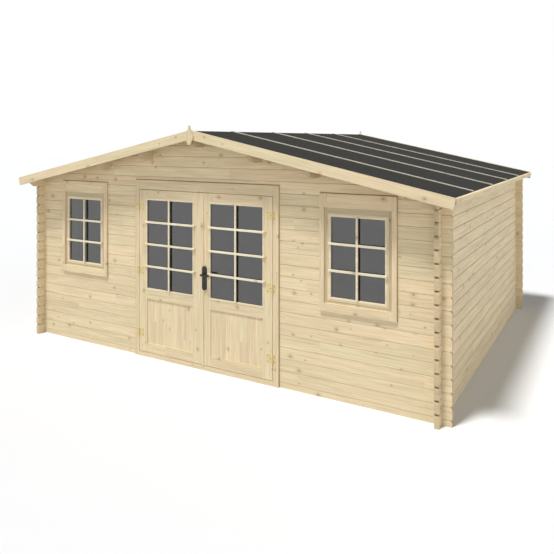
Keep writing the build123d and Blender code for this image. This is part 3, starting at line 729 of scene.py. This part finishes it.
class CABIN_OT_finishes(bpy.types.Operator):
    """Give every construction piece its finish"""

    bl_idname = "cabin.finishes"
    bl_label = "Finishes"

    def execute(self, context):
        pane_half = (PANE_HIGH.x - PANE_LOW.x) / 2 - REBATE
        sash_half = (SASH_HIGH.x - SASH_LOW.x) / 2
        panel_board = (PANEL_HIGH.x - PANEL_LOW.x - 2 * REBATE) / PANEL_BOARDS
        looks = {
            # A seam below 1 draws painted shade along both edges of every log
            spruce("front_logs", "X", "Z", PITCH, HALF_LOG, seam=0.9): (
                "front_wall_left_logs", "front_wall_right_logs", "rear_wall_logs",
            ),
            # The gable logs are drawn a little lighter: painted light on logs in the shade of
            # the roof
            spruce("gable_logs", "X", "Z", PITCH, HALF_LOG, shade=1.02): (
                "front_top_log", "front_gable_logs", "rear_gable_logs",
            ),
            spruce("side_logs", "Y", "Z", PITCH, seam=0.6): (
                "left_wall_logs", "right_wall_logs",
            ),
            # The beams are drawn darker: painted shade of their ends and undersides
            spruce("beams", "Y", "Z", shade=0.88): (
                "ridge_purlin", "left_purlins", "right_purlins", "floor_bearers",
            ),
            spruce("eave_strips", "Y", "Z"): ("left_eave_strip", "right_eave_strip"),
            spruce("uprights", "Z", "X", shade=0.96): (
                "left_leaf_stiles", "right_leaf_stiles", "meeting_strip", "front_finial",
                "rear_finial",
            ),
            spruce("rails", "X", "Z", shade=0.97): (
                "left_leaf_rails", "right_leaf_rails", "door_head", "door_threshold",
            ),
            spruce("jambs", "Z", "X", shade=0.97): ("door_jambs",),
            spruce("panels", "Z", "X", panel_board, PANEL_LOW.x + REBATE): (
                "left_leaf_panel", "right_leaf_panel",
            ),
            spruce("trims", "X", "Z", uprights=(TRIM_MIDDLE, sash_half)): (
                "left_window_trim", "right_window_trim",
            ),
            # The linings are drawn a quarter darker: painted shade in the recess round the sash
            spruce("linings", "X", "Z", uprights=(TRIM_MIDDLE, sash_half), shade=0.75): (
                "left_window_lining", "right_window_lining",
            ),
            spruce("sashes", "X", "Z", uprights=(TRIM_MIDDLE, pane_half)): (
                "left_window_sash", "right_window_sash",
            ),
            spruce("bargeboards", "X", "Z", slope=SLOPE): (
                "front_bargeboards", "rear_bargeboards",
            ),
            spruce(
                "weathered_battens", "X", "Y", slope=SLOPE, tones=("#DDD9C8", "#D2CFBF")
            ): ("left_felt_battens", "right_felt_battens"),
            roofing_felt(): ("left_roof_felt", "right_roof_felt"),
            float_glass(): (
                "left_leaf_glass", "right_leaf_glass", "left_window_glass",
                "right_window_glass",
            ),
            passivated_steel(): ("jamb_hinges", "left_leaf_hinges", "right_leaf_hinges"),
            lacquered_steel("black_lacquer", "#1B1B1A", 0.35): (
                "handle_plates", "handle_lever",
            ),
        }
        for material, names in looks.items():
            for name in names:
                if name not in NODES:
                    raise RuntimeError(f"no construction piece named {name}")
                slots = NODES[name].material_slots
                if not slots:
                    NODES[name].data.materials.append(material)
                for entry in slots:
                    entry.material = material
        return {"FINISHED"}


def glazed_openings():
    """Each glazed opening, the doors first: its name, side, body, lowest and highest corner of
    the glass in sight, face of the frame, and its bars' rows, lap and thickness."""
    bars = bpy.context.scene.cabin_bars
    inset = Vector((REBATE, 0, REBATE))
    door = (
        LIGHT_LOW + inset, LIGHT_HIGH - inset, LEAF_FACE, bars.door_rows, bars.door_lap,
        bars.door_thick,
    )
    window = (
        PANE_LOW + inset, PANE_HIGH - inset, SASH_FACE, bars.window_rows, bars.window_lap,
        bars.window_thick,
    )
    return (
        ("right_leaf", 1, "right_leaf", *door),
        ("left_leaf", -1, "left_leaf", *door),
        ("right_window", 1, "cabin", *window),
        ("left_window", -1, "cabin", *window),
    )


def bar_heights(low, high, rows):
    """Heights of the level bars that part a glass into rows."""
    return [low.z + (high.z - low.z) * row / rows for row in range(1, rows)]


class CABIN_OT_beads(bpy.types.Operator):
    """Fit the glazing beads round the glass of the doors and windows"""

    bl_idname = "cabin.beads"
    bl_label = "Glazing beads"

    def execute(self, context):
        bars = context.scene.cabin_bars
        wide, edge = bars.bead, bars.bead_thick / 3
        material = spruce("glass_beads", "X", "Z", tones=("#F7ECD0", "#F4EACA"))
        for name, way, body, low, high, face, *_ in glazed_openings():
            mesh = bmesh.new()
            front, back = face - bars.bead_thick, face - TOUCH
            for z in (low.z - wide, high.z):
                block(mesh, (low.x - wide, front, z), (high.x + wide, back, z + wide), edge)
            for x in (low.x - wide, high.x):
                block(mesh, (x, front, low.z), (x + wide, back, high.z), edge)
            piece(mesh, f"{name}_beads", material, body, way)
        return {"FINISHED"}


class CABIN_OT_bars(bpy.types.Operator):
    """Lay the grids of glazing bars over the glass of the doors and windows"""

    bl_idname = "cabin.bars"
    bl_label = "Glazing bars"

    def execute(self, context):
        bars = context.scene.cabin_bars
        half, edge = bars.width / 2, 2 * MM
        let_in = 0.5 * MM  # the upright bar lies this far behind the level ones' face
        material = spruce("glass_bars", "X", "Z", tones=("#FAF2DA", "#F8F0D6"))
        for name, way, body, low, high, face, rows, lap, thick in glazed_openings():
            mesh = bmesh.new()
            back = face - bars.bead_thick - TOUCH
            front = back - thick
            middle = (low.x + high.x) / 2
            block(
                mesh, (middle - half, front + let_in, low.z - bars.bead / 2),
                (middle + half, back, high.z + bars.bead / 2), edge,
            )
            for z in bar_heights(low, high, rows):
                block(
                    mesh, (low.x - lap, front, z - half), (high.x + lap, back, z + half), edge
                )
            piece(mesh, f"{name}_bars", material, body, way)
        return {"FINISHED"}


class CABIN_OT_clips(bpy.types.Operator):
    """Screw a clip over each end of a door's level bars"""

    bl_idname = "cabin.clips"
    bl_label = "Bar clips"

    def execute(self, context):
        bars, fixings = context.scene.cabin_bars, context.scene.cabin_fixings
        metal = bpy.data.materials["passivated_steel"]
        half = fixings.clip_width / 2
        sheet, edge = 1.5 * MM, 0.4 * MM
        screw_proud = 1.5 * MM
        for name, way, body, low, high, face, rows, lap, thick in glazed_openings()[:2]:
            mesh = bmesh.new()
            over = face - bars.bead_thick - TOUCH - thick - TOUCH
            for z in bar_heights(low, high, rows):
                for end, outward in ((low.x - lap, -1), (high.x + lap, 1)):
                    start = end + outward * TOUCH
                    riser = end + outward * (TOUCH + sheet)
                    foot = end + outward * fixings.clip_foot
                    tip = end - outward * fixings.clip_arm
                    for ends, front, back in (
                        ((start, foot), face - sheet, face - TOUCH),
                        ((start, riser), over - sheet, face - TOUCH),
                        ((tip, riser), over - sheet, over),
                    ):
                        left, right = sorted(ends)
                        block(mesh, (left, front, z - half), (right, back, z + half), edge)
                    screw = ((riser + foot) / 2, face - sheet, z)
                    head(mesh, screw, fixings.screw, screw_proud, FRONTWARD)
            piece(mesh, f"{name}_clips", metal, body, way)
        return {"FINISHED"}


class CABIN_OT_boards(bpy.types.Operator):
    """Lay the boards of the roof and of the floor in place of the plain sheets"""

    bl_idname = "cabin.boards"
    bl_label = "Roof and floor boards"

    def execute(self, context):
        boards = context.scene.cabin_boards
        gap = 0.4 * MM  # left on each side of a board
        floor_edge = 1.5 * MM
        on_cut = 1e-6  # a point as near to a cut as this lies on it

        # Roof boards run down the slope, side by side from front to back, and are cut upright
        # at the ridge and at the eaves
        ridge = Vector((0, 0, DECK_HIGH.z - DECK_THICK / cos(SLOPE)))
        count = round((DECK_HIGH.y - DECK_LOW.y) / boards.width)
        width = (DECK_HIGH.y - DECK_LOW.y) / count
        turn = Matrix.Translation(ridge) @ Matrix.Rotation(SLOPE, 4, "Y")
        start, reach = -0.2, 1.1 * DECK_HIGH.x  # beyond both cuts
        for name, way in (("right_roof_boards", 1), ("left_roof_boards", -1)):
            mesh = bmesh.new()
            for k in range(count):
                y = DECK_LOW.y + k * width
                block(
                    mesh, (start, y + gap, 0), (reach, y + width - gap, DECK_THICK),
                    boards.groove, turn,
                )
            for x, outward in ((DECK_LOW.x, -1), (DECK_HIGH.x, 1)):
                cut = bmesh.ops.bisect_plane(
                    mesh, geom=[*mesh.verts, *mesh.edges, *mesh.faces], dist=on_cut,
                    plane_co=(x, 0, 0), plane_no=(outward, 0, 0), clear_outer=True,
                )
                edges = [e for e in cut["geom_cut"] if isinstance(e, bmesh.types.BMEdge)]
                bmesh.ops.edgenet_fill(mesh, edges=edges, mat_nr=0)
            material = spruce(name, "X", "Y", width, DECK_LOW.y, slope=SLOPE, shade=0.97)
            boarded = piece(mesh, name, material, "cabin", way)
            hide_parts(name.replace("boards", "deck"))

        # Floor boards run from side to side, the first one cut round the door frame
        count = round((FLOOR_HIGH.y - FLOOR_LOW.y) / boards.width)
        width = (FLOOR_HIGH.y - FLOOR_LOW.y) / count
        frame_x, inner_y = JAMBS_HIGH.x + gap, JAMBS_HIGH.y + gap
        strips = [
            (FLOOR_LOW.x, -frame_x, FLOOR_LOW.y, width),
            (frame_x, FLOOR_HIGH.x, FLOOR_LOW.y, width),
            (-frame_x + 2 * gap, frame_x - 2 * gap, inner_y, width - inner_y + FLOOR_LOW.y),
        ]
        strips += [
            (FLOOR_LOW.x, FLOOR_HIGH.x, FLOOR_LOW.y + k * width, width) for k in range(1, count)
        ]
        mesh = bmesh.new()
        for left, right, y, deep in strips:
            block(
                mesh, (left, y + gap, FLOOR_LOW.z), (right, y + deep - gap, FLOOR_HIGH.z),
                floor_edge,
            )
        # seam=0.8 draws painted shade along both edges of every floor board
        material = spruce("floor_boards", "X", "Y", width, FLOOR_LOW.y, seam=0.8)
        boarded = piece(mesh, "floor_boards", material, "cabin")
        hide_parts("floor_deck")
        return {"FINISHED"}


class CABIN_OT_hollow_shade(bpy.types.Operator):
    """Put a dark block in each joint between two log ends: painted shade of the hollow beside
    the tongue
    """

    bl_idname = "cabin.hollows"
    bl_label = "Hollows between log ends"

    def execute(self, context):
        boards = context.scene.cabin_boards
        wide = boards.hollow_width / 2
        # From a joint down and up, and inward from the end of the log
        low, high = -0.6 * boards.hollow_height, 0.4 * boards.hollow_height
        deep, shallow = 16 * MM, 7 * MM
        edge = 4 * MM
        thick = FRONT_HIGH.y - FRONT_LOW.y
        mesh = bmesh.new()
        side_joints = [k * PITCH for k in range(1, int(SIDE_HIGH.z / PITCH))]
        cross_joints = [HALF_LOG + k * PITCH for k in range(int(FRONT_HIGH.z / PITCH) + 1)]
        for way in (1, -1):
            x = way * (SIDE_HIGH.x - thick / 2)
            for z in side_joints:
                for end, inward in ((FRONT_LOW.y - CORNER, 1), (REAR_HIGH.y + CORNER, -1)):
                    near, far = sorted((end + inward * shallow, end + inward * deep))
                    block(mesh, (x - wide, near, z + low), (x + wide, far, z + high), edge)
            end = way * (SIDE_HIGH.x + CORNER)
            near, far = sorted((end - way * shallow, end - way * deep))
            for y in (FRONT_LOW.y + thick / 2, REAR_HIGH.y - thick / 2):
                for z in cross_joints:
                    block(mesh, (near, y - wide, z + low), (far, y + wide, z + high), edge)
        # Dark brown blocks: painted shade of the hollows
        material = spruce("shaded_hollow", "X", "Z", tones=("#66523A", "#5E4A33"))
        piece(mesh, "log_end_hollow_shade", material, "cabin")
        return {"FINISHED"}


class CABIN_OT_joint_shade(bpy.types.Operator):
    """Lay a thin dark strip over and beside the trims of the door frame and the windows:
    painted shade of the joint
    """

    bl_idname = "cabin.gaps"
    bl_label = "Joints round the frames"

    def execute(self, context):
        boards = context.scene.cabin_boards
        far = FRONT_LOW.y - TOUCH
        near = far - 1 * MM  # a millimetre thick
        trim_half = (TRIM_HIGH.x - TRIM_LOW.x) / 2
        jambs_half = (JAMBS_HIGH.x - JAMBS_LOW.x) / 2
        mesh = bmesh.new()
        for middle, half, foot, top in (
            (TRIM_MIDDLE, trim_half, TRIM_LOW.z, TRIM_HIGH.z),
            (-TRIM_MIDDLE, trim_half, TRIM_LOW.z, TRIM_HIGH.z),
            (0, jambs_half, JAMBS_LOW.z, max(HEAD_HIGH.z, JAMBS_HIGH.z)),
        ):
            over = top + boards.gap_over
            block(mesh, (middle - half, near, top + TOUCH), (middle + half, far, over))
            for way in (1, -1):
                low, high = sorted(
                    middle + way * (half + reach) for reach in (TOUCH, boards.gap_beside)
                )
                block(mesh, (low, near, foot), (high, far, over))
        # Dark brown strips: painted shade of the joint round each trim
        material = spruce("shaded_joint", "X", "Z", tones=("#8C7A55", "#86734E"))
        piece(mesh, "frame_joint_shade", material, "cabin")
        return {"FINISHED"}


class CABIN_OT_fixings(bpy.types.Operator):
    """Add the screws of hinges and handle, the lock cylinders and the felt battens' nails"""

    bl_idname = "cabin.fixings"
    bl_label = "Screws and nails"

    def execute(self, context):
        fixings = context.scene.cabin_fixings
        dark = lacquered_steel("dark_screws", "#4A4230", 0.4)
        black = bpy.data.materials["black_lacquer"]
        screw_proud = 1.2 * MM

        # Three hinges on each leaf, with three screws in the leaf and two in the jamb
        heights = (
            LEAF_PLATE_LOW.z + HINGE_HEIGHT / 2, (LEAF_LOW.z + LEAF_HIGH.z) / 2,
            LEAF_PLATE_HIGH.z - HINGE_HEIGHT / 2,
        )
        offset = 0.32 * HINGE_HEIGHT  # of the outer screws from the hinge's middle
        far_end, near_pin = LEAF_PLATE_LOW.x + 10 * MM, LEAF_HIGH.x - 22 * MM
        jamb = JAMB_PLATE_HIGH.x - 9 * MM
        leaf_screws = ((far_end, -offset), (far_end, offset), (near_pin, 0))
        jamb_screws = ((jamb, -offset), (jamb, offset))
        face = LEAF_FACE - HINGE_PLATE
        for name, way, body, places in (
            ("right_leaf_screws", 1, "right_leaf", leaf_screws),
            ("left_leaf_screws", -1, "left_leaf", leaf_screws),
            ("right_jamb_screws", 1, "cabin", jamb_screws),
            ("left_jamb_screws", -1, "cabin", jamb_screws),
        ):
            mesh = bmesh.new()
            for z in heights:
                for x, rise in places:
                    head(mesh, (x, face, z + rise), fixings.screw, screw_proud, FRONTWARD, 12)
            piece(mesh, name, dark, body, way)

        # Lock cylinders, with their narrower tails and keyholes drawn as black blocks (painted
        # shade of the slot), and plate screws, on both faces of the right-hand leaf
        x = (PLATES_LOW.x + PLATES_HIGH.x) / 2
        z = (LEVER_LOW.z + LEVER_HIGH.z) / 2 - fixings.key_drop
        proud = 2.5 * MM  # how far a cylinder stands out of its plate
        inset = 18 * MM  # of a screw from the plate's end
        keyhole_drop, tail_edge = 2 * MM, 0.8 * MM
        half_tail = Vector((9 * MM, proud, 20 * MM)) / 2
        half_keyhole = Vector((1.6 * MM, 0.8 * MM, 9 * MM)) / 2
        cylinders, screws = bmesh.new(), bmesh.new()
        for y, way in ((PLATES_LOW.y, FRONTWARD), (PLATES_HIGH.y, REARWARD)):
            head(cylinders, (x, y, z), fixings.key_radius, proud, way, 20)
            tail = Vector((x, y, z - fixings.key_radius)) + way * proud / 2
            block(cylinders, tail - half_tail, tail + half_tail, tail_edge)
            keyhole = Vector((x, y, z - keyhole_drop)) + way * proud
            block(screws, keyhole - half_keyhole, keyhole + half_keyhole)
            for height in (PLATES_LOW.z + inset, PLATES_HIGH.z - inset):
                head(screws, (x, y, height), fixings.screw, screw_proud, way, 12)
        piece(cylinders, "lock_cylinders", dark, "right_leaf")
        piece(screws, "plate_screws", black, "right_leaf")

        # Nails along each felt batten, their heads set into it
        mesh = bmesh.new()
        nail_high, nail_sunk = 1.5 * MM, 0.5 * MM
        pitch = (BATTENS_HIGH.y - BATTENS_LOW.y - BATTEN_WIDTH) / (BATTENS - 1)
        length = BATTENS_HIGH.x - BATTENS_LOW.x
        count = round(length / fixings.nail_pitch)
        fall = (BATTENS_HIGH.z - BATTENS_LOW.z - BATTEN_THICK * cos(SLOPE)) / length
        for way in (1, -1):
            for k in range(BATTENS):
                y = BATTENS_LOW.y + BATTEN_WIDTH / 2 + k * pitch
                for n in range(count):
                    x = BATTENS_LOW.x + (n + 0.5) * length / count
                    z = BATTENS_HIGH.z - fall * (x - BATTENS_LOW.x) - nail_sunk
                    head(mesh, (way * x, y, z), fixings.nail, nail_high, UPWARD, 8)
        steel = lacquered_steel("galvanised_nails", "#8E8F8C", 0.45)
        piece(mesh, "batten_nails", steel, "cabin")
        return {"FINISHED"}


class CABIN_OT_stage(bpy.types.Operator):
    """Set the pale floor, the plain sky, the sun and the camera"""

    bl_idname = "cabin.stage"
    bl_label = "Stage"

    def execute(self, context):
        stage = context.scene.cabin_stage
        floor_reach, sight = 60, 200  # metres
        mesh = bmesh.new()
        bmesh.ops.create_grid(mesh, x_segments=1, y_segments=1, size=floor_reach)
        data = bpy.data.meshes.new("floor")
        mesh.to_mesh(data)
        mesh.free()
        floor = bpy.data.objects.new("floor", data)
        context.scene.collection.objects.link(floor)
        material, tree = new_material("pale_floor")
        colour = add_node(
            tree, "ShaderNodeMix",
            {0: self.seen(tree), 6: (*stage.floor_bounce, 1), 7: (*stage.floor_seen, 1)},
            data_type="RGBA",
        ).outputs[2]
        finish_surface(tree, add_node(tree, "ShaderNodeBsdfDiffuse", {"Color": colour}))
        data.materials.append(material)

        # The sky darkens upwards and is brighter on the right
        world = bpy.data.worlds.new("plain_sky")
        context.scene.world = world
        world.use_nodes = True
        tree = world.node_tree
        tree.nodes.clear()
        way = add_node(
            tree, "ShaderNodeSeparateXYZ",
            {0: add_node(tree, "ShaderNodeTexCoord").outputs["Generated"]},
        )
        lowness = add_node(
            tree, "ShaderNodeMapRange", {0: way.outputs["Z"], 3: 1.0, 4: 0.0}
        )
        overhead = add_node(
            tree, "ShaderNodeMath", {0: lowness, 1: stage.sky_fall}, operation="POWER"
        )
        side = add_node(
            tree, "ShaderNodeMath",
            {0: way.outputs["X"], 1: stage.sky * stage.sky_side, 2: stage.sky},
            operation="MULTIPLY_ADD",
        )
        strength = add_node(
            tree, "ShaderNodeMath", {0: overhead, 1: side}, operation="MULTIPLY"
        )
        light, backdrop = [
            add_node(tree, "ShaderNodeBackground", {"Color": (1, 1, 1, 1), "Strength": power})
            for power in (strength, 1.0)
        ]
        mixed = add_node(
            tree, "ShaderNodeMixShader", {0: self.seen(tree), 1: light, 2: backdrop}
        )
        add_node(tree, "ShaderNodeOutputWorld", {"Surface": mixed})

        lamp = bpy.data.lights.new("sun", "SUN")
        lamp.energy = stage.sun_power
        lamp.angle = stage.sun_size
        sun = bpy.data.objects.new("sun", lamp)
        sun.rotation_euler = Vector(stage.sun_way).to_track_quat("-Z", "Y").to_euler()
        context.scene.collection.objects.link(sun)

        view = bpy.data.cameras.new("camera")
        view.lens = stage.lens
        view.shift_y = stage.shift
        view.clip_end = sight
        camera = bpy.data.objects.new("camera", view)
        camera.location = stage.camera
        camera.rotation_euler = (pi / 2, 0, stage.turn)
        context.scene.collection.objects.link(camera)
        context.scene.camera = camera
        context.scene.view_settings.view_transform = "Standard"
        return {"FINISHED"}

    def seen(self, tree):
        """1 for what the camera sees, straight or in metal and glass, and 0 for plain light."""
        path = add_node(tree, "ShaderNodeLightPath")
        seen = path.outputs["Is Camera Ray"]
        for kind in ("Is Glossy Ray", "Is Transmission Ray"):
            seen = add_node(
                tree, "ShaderNodeMath", {0: seen, 1: path.outputs[kind]}, operation="MAXIMUM"
            ).outputs[0]
        return seen


class CABIN_PT_panel(bpy.types.Panel):
    """The cabin's settings and its pieces"""

    bl_idname = "CABIN_PT_panel"
    bl_label = "Log cabin"
    bl_space_type = "VIEW_3D"
    bl_region_type = "UI"
    bl_category = "Cabin"

    def draw(self, context):
        for group, operators in PIECES.items():
            settings = getattr(context.scene, group)
            column = self.layout.column()
            for name in settings.__annotations__:
                column.prop(settings, name)
            for operator in operators:
                column.operator(operator.bl_idname)


SETTINGS = {
    "cabin_wood": CabinWood,
    "cabin_bars": CabinBars,
    "cabin_boards": CabinBoards,
    "cabin_fixings": CabinFixings,
    "cabin_stage": CabinStage,
}
PIECES = {
    "cabin_wood": (CABIN_OT_finishes,),
    "cabin_bars": (CABIN_OT_beads, CABIN_OT_bars),
    "cabin_boards": (CABIN_OT_boards, CABIN_OT_hollow_shade, CABIN_OT_joint_shade),
    "cabin_fixings": (CABIN_OT_clips, CABIN_OT_fixings),
    "cabin_stage": (CABIN_OT_stage,),
}
CLASSES = (
    *SETTINGS.values(),
    *[operator for operators in PIECES.values() for operator in operators],
    CABIN_PT_panel,
)


def register():
    """Register the classes and hang the settings on the scene."""
    for item in CLASSES:
        bpy.utils.register_class(item)
    for name, group in SETTINGS.items():
        setattr(bpy.types.Scene, name, PointerProperty(type=group))


def unregister():
    """Undo register."""
    for name in SETTINGS:
        delattr(bpy.types.Scene, name)
    for item in reversed(CLASSES):
        bpy.utils.unregister_class(item)


def main():
    """Build every piece in order."""
    register()
    bpy.ops.cabin.finishes()
    bpy.ops.cabin.beads()
    bpy.ops.cabin.bars()
    bpy.ops.cabin.clips()
    bpy.ops.cabin.boards()
    bpy.ops.cabin.hollows()
    bpy.ops.cabin.gaps()
    bpy.ops.cabin.fixings()
    bpy.ops.cabin.stage()
    bpy.context.view_layer.update()


if __name__ == "__main__":
    main()
